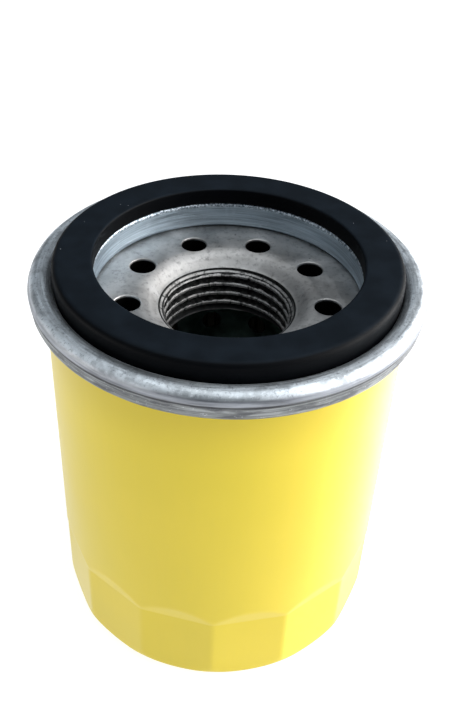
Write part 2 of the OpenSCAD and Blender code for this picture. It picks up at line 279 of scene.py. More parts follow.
class Look:
    """A material under construction: short calls that add nodes and return sockets."""

    def __init__(self, name, **constants):
        self.material = bpy.data.materials.new(name)
        self.material.use_nodes = True
        self.tree = self.material.node_tree
        self.tree.nodes.clear()
        self.out = self.tree.nodes.new("ShaderNodeOutputMaterial")
        self.shader = self.tree.nodes.new("ShaderNodeBsdfPrincipled")
        self.tree.links.new(self.shader.outputs[0], self.out.inputs[0])
        for key, value in constants.items():
            self.shader.inputs[key.replace("_", " ")].default_value = value
        coordinates = self.tree.nodes.new("ShaderNodeTexCoord")
        self.place = coordinates.outputs["Object"]
        self.normal = coordinates.outputs["Normal"]

    def node(self, kind, inputs=(), **settings):
        n = self.tree.nodes.new("ShaderNode" + kind)
        for key, value in settings.items():
            setattr(n, key, value)
        for key, value in dict(inputs).items():
            self.feed(n.inputs[key], value)
        return n

    def feed(self, socket, value):
        if isinstance(value, bpy.types.NodeSocket):
            self.tree.links.new(value, socket)
        else:
            socket.default_value = value

    def math(self, operation, a, b=0.0):
        return self.node("Math", {0: a, 1: b}, operation=operation).outputs[0]

    def facing_up(self):
        """How level the surface is: 1 where it faces straight up or down, 0 on a wall."""
        return self.math("ABSOLUTE", self.node("SeparateXYZ", {0: self.normal}).outputs[2])

    def axes(self):
        return tuple(self.node("SeparateXYZ", {0: self.place}).outputs)

    def height(self):
        return self.axes()[2]

    def radius(self):
        x, y, _ = self.axes()
        squares = self.math("ADD", self.math("MULTIPLY", x, x), self.math("MULTIPLY", y, y))
        return self.math("SQRT", squares)

    def scaled(self, x, y, z):
        return self.node("VectorMath", {0: self.place, 1: (x, y, z)}, operation="MULTIPLY").outputs[0]

    def streaks(self, along, across, detail=3.0, roughness=0.55):
        """Noise drawn out round the Z axis: along and across are features per metre.
        Radius and height both count as across, unequally, so that no slope cancels them out."""
        x, y, z = self.axes()
        height_share = 1.3
        rise = self.math("ADD", self.radius(), self.math("MULTIPLY", z, height_share))
        place = {0: self.math("MULTIPLY", x, along), 1: self.math("MULTIPLY", y, along),
                 2: self.math("MULTIPLY", rise, across)}
        return self.noise(1.0, detail, roughness, vector=self.node("CombineXYZ", place).outputs[0])

    def noise(self, scale, detail=3.0, roughness=0.5, vector=None, distortion=0.0):
        n = self.node("TexNoise", {"Vector": vector or self.place, "Scale": scale, "Detail": detail,
                                   "Roughness": roughness, "Distortion": distortion})
        return n.outputs["Fac"]

    def cells(self, scale):
        return self.node("TexVoronoi", {"Vector": self.place, "Scale": scale})

    def band(self, value, low, high, out_low=0.0, out_high=1.0):
        """Maps low..high smoothly to out_low..out_high."""
        n = self.node("MapRange", {"Value": value, "From Min": low, "From Max": high,
                                   "To Min": out_low, "To Max": out_high},
                      interpolation_type="SMOOTHSTEP")
        return n.outputs["Result"]

    def fade(self, value, low, high, start=1.0):
        """Maps low..high smoothly to start..0."""
        return self.band(value, low, high, start, 0.0)

    def both(self, *masks):
        """The product of some masks."""
        total = masks[0]
        for mask in masks[1:]:
            total = self.math("MULTIPLY", total, mask)
        return total

    def mix(self, share, a, b):
        a, b = ((*c, 1.0) if isinstance(c, tuple) and len(c) == 3 else c for c in (a, b))
        return self.node("Mix", {0: share, 6: a, 7: b}, data_type="RGBA").outputs[2]

    def colour(self, value):
        self.feed(self.shader.inputs["Base Color"], value)

    def rough(self, value):
        self.feed(self.shader.inputs["Roughness"], value)

    def bump(self, *layers):
        """Layers are (height socket, depth in metres), added from coarse to fine."""
        below = {}
        for height, depth in layers:
            n = self.node("Bump", {"Strength": 1.0, "Distance": depth, "Height": height, **below})
            below = {"Normal": n.outputs[0]}
        self.feed(self.shader.inputs["Normal"], below["Normal"])


def dress(piece, look):
    """Gives a new piece its material."""
    piece.data.materials.clear()
    piece.data.materials.append(look)


def dress_node(name, look):
    """Gives a carried-over CAD node its material."""
    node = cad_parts[name]
    for place in node.material_slots:
        place.material = look


# ---------------------------------------------------------------- materials

def enamel():
    look = Look("yellow_enamel", Specular_IOR_Level=0.42)
    cloud = look.noise(60, 2.0)
    drawn = look.noise(1.0, 3.0, 0.5, vector=look.scaled(900, 900, 120))
    base = look.mix(look.band(cloud, 0.35, 0.65), (0.715, 0.555, 0.021), (0.74, 0.57, 0.025))
    base = look.mix(look.band(drawn, 0.4, 0.75, 0.0, 0.06), base, (0.60, 0.50, 0.03))
    # Painted shade: the paint is coloured a little deeper just below the seam
    shade_below_seam = look.band(look.height(), SEAM_FOOT - 10 * MM, SEAM_FOOT - 1 * MM, 0.0, 0.5)
    look.colour(look.mix(shade_below_seam, base, (0.56, 0.42, 0.012)))
    look.rough(look.band(cloud, 0.3, 0.7, 0.28, 0.34))
    look.bump((look.noise(1100, 1.0), 0.0035 * MM))
    return look.material


def galvanised():
    look = Look("galvanised_sheet", Metallic=1.0)
    z = look.height()
    r = look.radius()
    streak = look.streaks(110, 2600, 4.0, 0.6)
    broad = look.streaks(240, 900, 3.0, 0.6)
    blotch = look.noise(520, 4.0, 0.65)
    fleck = look.noise(2600, 3.0, 0.75)
    spangle = look.cells(330).outputs["Color"]
    tone = look.node("SeparateColor", {0: spangle}).outputs[0]
    base = look.mix(look.band(streak, 0.35, 0.65), (0.55, 0.58, 0.60), (0.87, 0.92, 0.96))
    base = look.mix(look.band(tone, 0.0, 1.0, 0.0, 0.25), base, (0.80, 0.85, 0.90))
    base = look.mix(look.band(broad, 0.50, 0.66, 0.0, 0.62), base, (0.28, 0.30, 0.32))
    base = look.mix(look.band(blotch, 0.50, 0.66, 0.0, 0.5), base, (0.32, 0.34, 0.36))
    base = look.mix(look.band(fleck, 0.56, 0.70, 0.0, 0.6), base, (0.90, 0.93, 0.97))
    base = look.mix(look.fade(fleck, 0.32, 0.44, 0.6), base, (0.20, 0.22, 0.25))

    # The lip inside the gasket is bluer, with a burred edge
    lip = look.fade(r, 19.4 * MM, 19.7 * MM)
    fine = look.streaks(70, 4200, 3.0, 0.7)
    lip_base = look.mix(look.band(streak, 0.35, 0.65), (0.36, 0.44, 0.51), (0.56, 0.66, 0.74))
    lip_base = look.mix(look.band(fine, 0.45, 0.7, 0.0, 0.5), lip_base, (0.22, 0.28, 0.33))
    lip_base = look.mix(look.band(blotch, 0.55, 0.72, 0.0, 0.4), lip_base, (0.62, 0.72, 0.80))
    edge = look.band(z, LIP_TOP - 0.7 * MM, LIP_TOP - 0.25 * MM)
    burr = look.mix(look.band(fleck, 0.42, 0.58), (0.10, 0.13, 0.16), (0.80, 0.86, 0.92))
    lip_base = look.mix(look.both(edge, 0.8), lip_base, burr)
    base = look.mix(lip, base, lip_base)

    # Painted shade: the bead's outer side is coloured darker and streaked, and darker still where it turns
    # under
    side = look.both(look.band(r, RIM_R - 1.35 * MM, RIM_R - 0.55 * MM),
                     look.fade(z, CROWN - 1.0 * MM, CROWN - 0.30 * MM))
    bead_side_shade = look.mix(look.band(broad, 0.4, 0.65), (0.42, 0.44, 0.48), (0.24, 0.25, 0.28))
    base = look.mix(look.both(side, 0.75), base, bead_side_shade)
    uneven_z = look.math("ADD", z, look.band(broad, 0.3, 0.7, -0.08 * MM, 0.08 * MM))
    under = look.both(look.band(r, RIM_R - 0.7 * MM, RIM_R - 0.3 * MM),
                      look.fade(uneven_z, CROWN - 0.95 * MM, CROWN - 0.60 * MM))
    turn_under_shade = look.mix(look.band(streak, 0.35, 0.65), (0.16, 0.167, 0.185), (0.36, 0.375, 0.41))
    base = look.mix(look.both(under, 0.85), base, turn_under_shade)

    # Painted shade with scuffs: the seam's band below the bead is coloured dark, with scuffed streaks and
    # bright flecks
    outside = look.band(r, RIM_R - 0.95 * MM, RIM_R - 0.5 * MM)
    low = look.fade(z, CROWN - 1.8 * MM, CROWN - 1.4 * MM)
    shaded_scuffed_band = look.mix(look.band(streak, 0.35, 0.65), (0.15, 0.157, 0.16), (0.35, 0.365, 0.37))
    shaded_scuffed_band = look.mix(look.band(broad, 0.45, 0.65, 0.0, 0.7), shaded_scuffed_band, (0.10, 0.10, 0.11))
    shaded_scuffed_band = look.mix(look.band(fleck, 0.60, 0.72, 0.0, 0.6), shaded_scuffed_band, (0.62, 0.64, 0.68))
    base = look.mix(look.both(outside, low), base, shaded_scuffed_band)

    # Painted shade in the groove over the band and along the seam's foot
    step = look.both(look.band(z, STEP_Z - 0.28 * MM, STEP_Z - 0.05 * MM),
                     look.fade(z, STEP_Z + 0.05 * MM, STEP_Z + 0.28 * MM))
    foot = look.fade(z, SEAM_FOOT + 0.15 * MM, SEAM_FOOT + 0.5 * MM)
    crease_shade = look.both(outside, look.math("MAXIMUM", step, foot))
    look.colour(look.mix(look.both(crease_shade, 0.75), base, (0.05, 0.05, 0.055)))
    dull = look.band(broad, 0.4, 0.7, 0.0, 0.12)
    look.rough(look.math("ADD", look.band(streak, 0.3, 0.7, 0.38, 0.52), dull))
    look.bump((broad, 0.06 * MM), (blotch, 0.06 * MM), (streak, 0.015 * MM), (fleck, 0.02 * MM))
    return look.material


def bare_steel():
    look = Look("bare_steel", Metallic=1.0)
    z = look.height()
    r = look.radius()
    cloud = look.noise(180, 4.0, 0.6, distortion=0.6)
    grain = look.noise(1500, 4.0, 0.65)
    smear = look.streaks(220, 1400, 3.0)
    base = look.mix(look.band(cloud, 0.3, 0.7), (0.385, 0.373, 0.362), (0.585, 0.575, 0.566))
    base = look.mix(look.band(grain, 0.48, 0.72, 0.0, 0.5), base, (0.16, 0.158, 0.155))

    # A few dark stains
    spots = look.cells(520).outputs["Distance"]
    few = look.band(look.noise(260, 2.0), 0.56, 0.62)
    stain = look.both(look.fade(spots, 0.05, 0.12), few)
    base = look.mix(look.both(stain, 0.8), base, (0.05, 0.045, 0.04))

    # Painted shade in the thread's grooves, except in the shallow first one
    patchy = look.band(look.streaks(620, 1100, 4.0, 0.75), 0.3, 0.7, -0.12 * MM, 0.14 * MM)
    in_bore = (THREAD_R + 0.08 * MM, THREAD_R + 0.16 * MM)
    uneven_r = look.math("ADD", r, patchy)
    shaded_groove = look.both(look.band(uneven_r, MINOR_R + 0.10 * MM, MINOR_R + 0.24 * MM),
                       look.fade(r, *in_bore))
    first = look.both(look.band(z, PLATE - 2.75 * MM, PLATE - 2.60 * MM),
                      look.band(r, MINOR_R + 0.34 * MM, MINOR_R + 0.42 * MM),
                      look.fade(r, THREAD_R - 0.18 * MM, THREAD_R - 0.08 * MM))
    shaded_groove = look.both(shaded_groove, look.math("SUBTRACT", 1.0, look.both(first, 0.9)))
    # Near-black colour for the painted groove shade and for the scratches
    shade_and_scratch_dark = look.mix(look.band(grain, 0.35, 0.65), (0.006, 0.006, 0.006), (0.045, 0.045, 0.044))
    base = look.mix(shaded_groove, base, shade_and_scratch_dark)

    # Upright scratches across the thread, and painted shade darkening the lower end of the hub
    scratch = look.noise(1.0, 4.0, 0.7, vector=look.scaled(1300, 1300, 300))
    scratched = look.fade(r, *in_bore, start=look.band(scratch, 0.50, 0.64, 0.0, 0.8))
    base = look.mix(scratched, base, shade_and_scratch_dark)
    hub_end_shade = look.both(look.fade(z, HUB_FOOT + 0.3 * MM, HUB_FOOT + 1.3 * MM, 0.85),
                     look.fade(r, THREAD_R, THREAD_R + 0.2 * MM))
    base = look.mix(hub_end_shade, base, (0.03, 0.03, 0.03))

    # Painted shade: the walls of the inlet holes are coloured near black
    wall = look.both(look.fade(look.facing_up(), 0.4, 0.85),
                     look.fade(z, PLATE - 0.45 * MM, PLATE - 0.20 * MM),
                     look.band(r, HUB_R + 0.8 * MM, HUB_R + 1.0 * MM))
    look.colour(look.mix(wall, base, (0.006, 0.006, 0.006)))

    # The drawn mouth is a little rougher than the flat of the plate
    drawn = look.fade(r, 12.0 * MM, 13.4 * MM, 0.12)
    dull = look.math("ADD", look.band(cloud, 0.3, 0.7, 0.40, 0.52),
                     look.band(smear, 0.3, 0.7, 0.0, 0.08))
    look.rough(look.math("ADD", dull, drawn))
    look.bump((cloud, 0.012 * MM), (smear, 0.006 * MM), (grain, 0.009 * MM))
    return look.material


def rubber(name, clean, sheen_colour, sheen_from_z):
    """Moulded rubber: clean walls, a painted sheen that lightens the colour of what lies above the given
    height, and a few specks of dust.
    """
    look = Look(name, Specular_IOR_Level=0.06)
    cloud = look.noise(260, 3.0)
    grain = look.noise(5200, 2.0)
    # Painted sheen: the top is coloured lighter than the walls
    top_sheen = look.mix(look.band(cloud, 0.35, 0.7), sheen_colour, tuple(c * 1.5 for c in sheen_colour))
    base = look.mix(look.band(look.height(), sheen_from_z - 0.25 * MM, sheen_from_z), clean, top_sheen)
    dust = look.fade(look.cells(900).outputs["Distance"], 0.045, 0.07)
    rare = look.band(look.noise(330, 1.0), 0.66, 0.69)
    look.colour(look.mix(look.both(dust, rare), base, (0.35, 0.36, 0.38)))
    look.rough(look.band(cloud, 0.3, 0.7, 0.48, 0.58))
    look.bump((look.noise(420, 2.0), 0.012 * MM), (grain, 0.004 * MM))
    return look.material


def dark_steel():
    look = Look("tube_steel", Metallic=1.0)
    cloud = look.noise(240, 4.0, 0.6)
    look.colour(look.mix(look.band(cloud, 0.3, 0.7), (0.10, 0.15, 0.14), (0.22, 0.31, 0.29)))
    look.rough(look.band(cloud, 0.3, 0.7, 0.3, 0.5))
    look.bump((look.noise(1800, 3.0), 0.006 * MM))
    return look.material


def tinplate():
    look = Look("tinplate", Metallic=1.0)
    streak = look.streaks(120, 2200, 3.0)
    cloud = look.noise(210, 3.0)
    base = look.mix(look.band(cloud, 0.3, 0.7), (0.52, 0.50, 0.45), (0.68, 0.66, 0.60))
    look.colour(look.mix(look.band(streak, 0.5, 0.8, 0.0, 0.4), base, (0.38, 0.36, 0.32)))
    look.rough(look.band(streak, 0.3, 0.7, 0.26, 0.4))
    look.bump((streak, 0.006 * MM), (look.noise(2400, 2.0), 0.003 * MM))
    return look.material


def spring_wire():
    look = Look("spring_steel", Metallic=1.0)
    drawn = look.noise(900, 3.0)
    look.colour(look.mix(look.band(drawn, 0.3, 0.7), (0.26, 0.27, 0.30), (0.46, 0.47, 0.50)))
    look.rough(look.band(look.noise(2200, 2.0), 0.3, 0.7, 0.24, 0.38))
    look.bump((drawn, 0.006 * MM))
    return look.material


def paper():
    look = Look("filter_paper", Specular_IOR_Level=0.2)
    fibre = look.noise(1, 5.0, 0.7, vector=look.scaled(5200, 5200, 1600))
    cloud = look.noise(260, 3.0)
    base = look.mix(look.band(cloud, 0.3, 0.7), (0.50, 0.36, 0.17), (0.60, 0.46, 0.25))
    base = look.mix(look.band(fibre, 0.45, 0.7, 0.0, 0.5), base, (0.38, 0.26, 0.12))
    # Painted shade: the inner folds are coloured near black
    inner = look.fade(look.radius(), 12.8 * MM, 15.0 * MM, 0.95)
    look.colour(look.mix(inner, base, (0.012, 0.013, 0.011)))
    look.rough(look.band(fibre, 0.3, 0.7, 0.75, 0.9))
    look.bump((fibre, 0.03 * MM))
    return look.material


def plastisol():
    look = Look("adhesive", Specular_IOR_Level=0.45, Subsurface_Weight=0.1)
    look.shader.inputs["Subsurface Radius"].default_value = (0.001, 0.0008, 0.0006)
    cloud = look.noise(320, 3.0)
    look.colour(look.mix(look.band(cloud, 0.3, 0.7), (0.50, 0.44, 0.30), (0.62, 0.56, 0.41)))
    look.rough(look.band(cloud, 0.3, 0.7, 0.35, 0.5))
    look.bump((look.noise(700, 2.0), 0.03 * MM))
    return look.material


def compound():
    look = Look("seam_compound", Specular_IOR_Level=0.3)
    cloud = look.noise(800, 3.0)
    look.colour(look.mix(cloud, (0.03, 0.03, 0.028), (0.07, 0.07, 0.065)))
    look.rough(look.band(cloud, 0.3, 0.7, 0.6, 0.75))
    look.bump((cloud, 0.02 * MM))
    return look.material


# ---------------------------------------------------------------- the can

FLATS = 14
CORNER_R = 24.8 * MM
APOTHEM = CORNER_R * cos(pi / FLATS)
FLAT_TOP = 13.6 * MM
SHOULDER = tan(radians(75))
EDGE_R = 3.0 * MM
PANEL_DEPTH = 0.9 * MM
PANEL_R = 12.4 * MM
CORNER_SHARPNESS = 420                 # of the bends between the flats
SHOULDER_BLEND = 0.14 * MM
SHOULDER_SOFTNESS = 0.175 * MM         # of the bend where the shoulders leave the flats


def flats_radius(angles, z, inset):
    """Distance from the axis to the flats and to the drawn shoulders above them."""
    rise = max(z - FLAT_TOP, 0.0)
    lift = 0.5 * (rise + sqrt(rise ** 2 + (2 * SHOULDER_SOFTNESS) ** 2)) - SHOULDER_SOFTNESS
    reach = APOTHEM - inset + lift / SHOULDER
    total = np.zeros_like(angles)
    for i in range(FLATS):
        centre = (i + 0.5) * 2 * pi / FLATS - pi / 2
        total += np.clip(np.cos(angles - centre), 1e-3, 1) ** CORNER_SHARPNESS
    return reach / total ** (1 / CORNER_SHARPNESS)


def panel_edge(inset):
    """The soft edge of the base's recessed panel, from the panel out to the foot."""
    return [(PANEL_R + inset + beyond, inset + PANEL_DEPTH * share) for beyond, share in (
        (-0.9 * MM, 1.0), (-0.5 * MM, 0.93), (-0.15 * MM, 0.5), (0.2 * MM, 0.07), (0.6 * MM, 0.0))]


def can_shell():
    foot_r = CORNER_R - EDGE_R
    shoulder_top = FLAT_TOP + (CAN_R - APOTHEM) * SHOULDER + 1.2 * MM
    panel = panel_edge(0)
    outside = [(0, PANEL_DEPTH), *line((0, PANEL_DEPTH), panel[0], 6), *panel[1:]]
    outside += line(panel[-1], (foot_r, 0), 10)
    outside += arc(foot_r, EDGE_R, EDGE_R, -90, 0, 16)[1:]
    outside += line((CORNER_R, EDGE_R), (CORNER_R, FLAT_TOP - 0.5 * MM), 24)
    outside += line((CORNER_R, FLAT_TOP - 0.5 * MM), (CAN_R, shoulder_top), 56)
    outside += line((CAN_R, shoulder_top), (CAN_R, BEND), 60)[:-1]

    # The hook over the seam's inside, without the ends of its two sides at the wall
    bend_r = (BODY_HOOK_R - WALL_R) / 2
    wall_top = arc(WALL_R + bend_r, BEND, bend_r, 180, 0, 16)
    hook = [(WALL_R, BEND - 0.01 * MM), *wall_top, (BODY_HOOK_R, SEAM_FOOT + 1.2 * MM)]
    hook = sheet(hook, SKIN, trim=False)[1:-4]

    inside = [(max(r - SKIN, 0), z) for r, z in outside if z >= EDGE_R][::-1]
    edge = arc(foot_r, EDGE_R, EDGE_R - SKIN, 0, -90, 12)[1:]
    panel = panel_edge(SKIN)
    floor = [*line((foot_r, SKIN), panel[-1], 8), *panel[-2::-1], (0, SKIN + PANEL_DEPTH)]
    outline = outside + hook + inside + edge + floor
    last_outside = len(outside)
    first_inside = len(outside) + len(hook)

    def shape(angles, r, z, row):
        hooked = last_outside <= row < first_inside
        level = z[0]
        if hooked or r[0] < foot_r - 0.1 * MM or level > shoulder_top:
            return r, z
        inset = 0.0 if row < last_outside else SKIN
        limit = flats_radius(angles, level, inset)
        body = r if level <= EDGE_R else np.full_like(angles, CAN_R - inset)
        return soft_min(limit, body, SHOULDER_BLEND), z

    return lathe("can_shell_drawn", outline, FLATS * 30, shape, 60)


# ---------------------------------------------------------------- the lid

def seaming_lid():
    """One sheet: lip, gasket groove, chuck wall, crown, bead, band, and the cover hook curled under."""
    lip_r = LIP_R + SHEET / 2
    floor = PLATE + SHEET / 2
    bend = 0.7 * MM
    bead_z = CROWN_MID - CROWN_BEND_R
    curl = (BAND_R - COVER_HOOK_R) / 2
    curl_z = SEAM_FOOT + SHEET / 2 + curl
    lip_end = (lip_r + 0.06 * MM, LIP_TOP)
    path = [lip_end, *line(lip_end, (lip_r, floor + bend + 0.2 * MM), 10)]
    path += arc(lip_r + bend, floor + bend, bend, 180, 270, 10)
    path += arc(CHUCK_R - bend, floor + bend, bend, 270, 360, 10)
    path += arc(CHUCK_R + CHUCK_BEND_R, BEND, CHUCK_BEND_R, 180, 90, 18)
    path += arc(BEAD_R - CROWN_BEND_R, bead_z, CROWN_BEND_R, 90, 0, 14)
    path += rounded([(BEAD_R, bead_z), (BEAD_R - 0.02 * MM, bead_z - 0.3 * MM),
                     (BAND_R, BEND - 0.25 * MM), (BAND_R, curl_z + 0.3 * MM)], 0.35 * MM, 6)[1:]
    path += arc(BODY_HOOK_R, curl_z, curl, 0, -180, 16)
    path += [(COVER_HOOK_R, BEND + 0.1 * MM)]
    outline = sheet(path, SHEET, 6)
    lip_edge = LIP_TOP - 0.12 * MM

    def shape(angles, r, z, row):
        if r[0] < lip_r + SHEET and z[0] > lip_edge:
            # The lip's sheared edge is burred and slightly wavy
            burr = np.random.default_rng(row).normal(0, 1, len(angles))
            burr = blurred(burr, [0.25, 0.5, 0.25])
            z = z + wavy(angles, 0.015 * MM, seed=3) + 0.035 * MM * burr
            r = r + 0.02 * MM * np.roll(burr, 5)
        elif r[0] > BAND_R:
            # The rollers leave a groove above the band, and shallow dents
            groove_z = STEP_Z + wavy(angles, 0.03 * MM, (5, 11, 19), 8)
            dip = 0.13 * MM * np.exp(-((z - groove_z) / (0.16 * MM)) ** 2)
            dents = np.random.default_rng(100 + row // 4).normal(0, 0.012 * MM, len(angles) // 4)
            dents = blurred(np.repeat(dents, 4), np.hanning(9) / 4)
            r = r - dip + dents - 0.02 * MM
        if z[0] < curl_z and r[0] > COVER_HOOK_R:
            z = z + wavy(angles, 0.02 * MM, (4, 9, 17), seed=5)
        return r, z

    return lathe("seaming_lid_rolled", outline, 384, shape, 50)


# ---------------------------------------------------------------- the tapping plate

PITCH = 1.5875 * MM
CREST_Z = PLATE - 4.20 * MM            # a crest's height on the +Y side
CREST_HALF = PITCH * 0.13              # half the width of a worn crest
ROWS_PER_PITCH = 26
PLATE_T = 2.6 * MM
MOUTH_R = 12.6 * MM                    # where the plate's flat gives way to its drawn mouth
ENTRY_R = 9.80 * MM                    # where the mouth meets the thread
ENTRY_Z = PLATE - 1.70 * MM
INLETS = 9
INLET_R = 3.75 * MM / 2
INLET_CIRCLE_R = 14 * MM
FIRST_INLET = 72.5                     # degrees round from +X
PUNCH_EDGE = 0.22 * MM                 # radius of the edge round a punched hole


def thread_radius(angles, z):
    """Internal 60 degree thread, right-handed, with worn crests."""
    phase = ((z - CREST_Z) / PITCH - (angles - pi / 2) / (2 * pi)) % 1
    away = np.minimum(phase, 1 - phase) * PITCH
    depth = (away - CREST_HALF) / tan(radians(30))
    depth = soft_max(depth, 0.0, 0.16 * MM)
    return MINOR_R + soft_min(depth, THREAD_R - MINOR_R, 0.1 * MM)


def tapping_plate():
    """A thick plate, drawn down in the middle into a threaded hub, with punched inlet holes."""
    under = PLATE - PLATE_T
    mouth = arc(MOUTH_R, under, PLATE_T, 90, 135, 14)
    mouth += line(mouth[-1], (ENTRY_R, ENTRY_Z), 4)
    thread_rows = ceil((ENTRY_Z - HUB_FOOT) / PITCH * ROWS_PER_PITCH)
    thread_z = np.linspace(ENTRY_Z, HUB_FOOT, thread_rows + 1)[1:]
    outline = [(plate_high.x, under + 0.1 * MM), (plate_high.x, PLATE - 0.25 * MM),
               (plate_high.x - 0.25 * MM, PLATE), *mouth]
    first_thread = len(outline)
    outline += [(MINOR_R, z) for z in thread_z]
    last_thread = len(outline)
    outline += [(HUB_R - 0.15 * MM, HUB_FOOT), (HUB_R, HUB_FOOT + 0.15 * MM)]
    outline += arc(HUB_R + 1 * MM, under - 1 * MM, 1 * MM, 180, 90, 8)
    outline += [(plate_high.x - 0.1 * MM, under)]

    def shape(angles, r, z, row):
        if first_thread <= row < last_thread:
            lead_in = ENTRY_R - 0.2 * MM - (ENTRY_Z - z[0])
            lead_out = MINOR_R + max(0, HUB_FOOT + 0.2 * MM - z[0])
            r = np.maximum(thread_radius(angles, z), max(lead_in, lead_out))
            r = r + 0.006 * MM * np.random.default_rng(row).normal(0, 1, len(angles))
        return r, z

    plate = lathe("tapping_plate_threaded", outline, 288, shape, 38)
    punch = [(0, under - 1 * MM), (INLET_R, under - 1 * MM), (INLET_R, PLATE - PUNCH_EDGE)]
    punch += arc(INLET_R + PUNCH_EDGE, PLATE - PUNCH_EDGE, PUNCH_EDGE, 180, 90, 4)[1:]
    punch += [(INLET_R + PUNCH_EDGE, PLATE + 0.5 * MM), (0, PLATE + 0.5 * MM)]
    cutters = []
    for i in range(INLETS):
        turn = radians(FIRST_INLET + i * 360 / INLETS)
        cutter = lathe(f"punch_{i}", punch, 40)
        cutter.location = (INLET_CIRCLE_R * cos(turn), INLET_CIRCLE_R * sin(turn), 0)
        cutters.append(cutter)
    cut(plate, cutters)
    return plate


# ---------------------------------------------------------------- the gasket

def sealing_gasket():
    """Sits in the lid's groove, overhangs the lip inside and the chuck wall outside."""
    inner = 18.3 * MM
    outer_edge, inner_edge = 0.9 * MM, 0.35 * MM
    groove_out = CHUCK_R - SHEET / 2 - 0.15 * MM
    groove_in = LIP_R + SHEET + 0.1 * MM
    shoulder = LIP_TOP + 0.1 * MM
    foot = gasket_low.z
    outline = rounded([
        (groove_in + 1.5 * MM, foot), (groove_out, foot), (groove_out, BEND + 0.4 * MM),
        (GASKET_R, BEND + 0.7 * MM), (GASKET_R, TOP - outer_edge)], 0.35 * MM)
    outline += arc(GASKET_R - outer_edge, TOP - outer_edge, outer_edge, 0, 90, 14)[1:]
    outline += line((GASKET_R - outer_edge, TOP), (inner + inner_edge, TOP), 10)
    outline += arc(inner + inner_edge, TOP - inner_edge, inner_edge, 90, 180, 8)[1:]
    outline += rounded([(inner, TOP - 0.6 * MM), (inner, shoulder), (groove_in, shoulder),
                        (groove_in, foot), (groove_in + 1.2 * MM, foot)], 0.3 * MM)
    return lathe("sealing_gasket_moulded", outline, 256, None, 55)


# ---------------------------------------------------------------- the filter element

TIN = 0.4 * MM                         # end caps and the bypass cage
SEAT_T = 0.5 * MM                      # bypass seat and spring seat
PAPER = 0.5 * MM
PLEATS = 48
CAP_R = upper_cap_high.x
CAP_FACE = upper_cap_low.z + 2.4 * MM  # underside of the upper cap
FLOOR_FACE = lower_cap_low.z + TIN     # upper side of the lower cap
TUBE_R = tube_high.x
GLUE_LOW = CAP_FACE - 1.2 * MM         # free sides of the two adhesive rings
GLUE_HIGH = FLOOR_FACE + 1.2 * MM
STEM_R = 1.5 * MM                      # of the bypass valve


def drainback_valve():
    """One moulding: a neck round the hub, and a dished diaphragm with two ribs and a thick lip."""
    neck_in, neck_out = HUB_R + 0.05 * MM, HUB_R + 0.95 * MM
    neck_top = valve_high.z - 1.05 * MM
    lip_out, lip_top = valve_high.x, valve_high.z
    root = neck_top - 1.2 * MM
    skin = 0.8 * MM
    slope = (lip_top - 0.4 * MM - root) / (lip_out - 1.4 * MM - neck_out)
    outline = [(neck_in, valve_low.z), (neck_out, valve_low.z), (neck_out, root - skin)]
    for rib in (14.0 * MM, 15.6 * MM):
        z = root + (rib - neck_out) * slope - skin
        outline += [(rib - 0.35 * MM, z - 0.1 * MM), (rib - 0.15 * MM, z - 0.3 * MM),
                    (rib + 0.15 * MM, z - 0.3 * MM), (rib + 0.35 * MM, z)]
    outline += [(lip_out - 1.1 * MM, lip_top - skin - 0.4 * MM), (lip_out, lip_top - skin),
                (lip_out, lip_top), (lip_out - 1.1 * MM, lip_top),
                (lip_out - 1.4 * MM, lip_top - 0.4 * MM), (neck_out, root), (neck_out, neck_top),
                (neck_in, neck_top), (neck_in, (neck_top + valve_low.z) / 2)]
    return lathe("drainback_valve_moulded", rounded(outline, 0.22 * MM, 4), 160)


def upper_end_cap():
    """The cap's skirt, a stiffening bead, and the collar round the valve's neck."""
    skirt = CAP_R - TIN / 2
    collar = HUB_R + 1 * MM + TIN / 2
    level = CAP_FACE + TIN / 2
    bead = level + 0.5 * MM
    path = [(skirt, upper_cap_low.z), (skirt, level), (18.6 * MM, level), (18.0 * MM, bead),
            (15.8 * MM, bead), (15.2 * MM, level), (collar, level), (collar, upper_cap_high.z)]
    return lathe("upper_end_cap_pressed", sheet(rounded(path, 0.5 * MM, 5), TIN), 160)


def lower_end_cap():
    skirt = CAP_R - TIN / 2
    hole = seat_high.x - 2 * MM
    level = lower_cap_low.z + TIN / 2
    path = [(hole, level), (skirt, level), (skirt, lower_cap_high.z)]
    return lathe("lower_end_cap_pressed", sheet(rounded(path, 0.5 * MM, 6), TIN), 160)


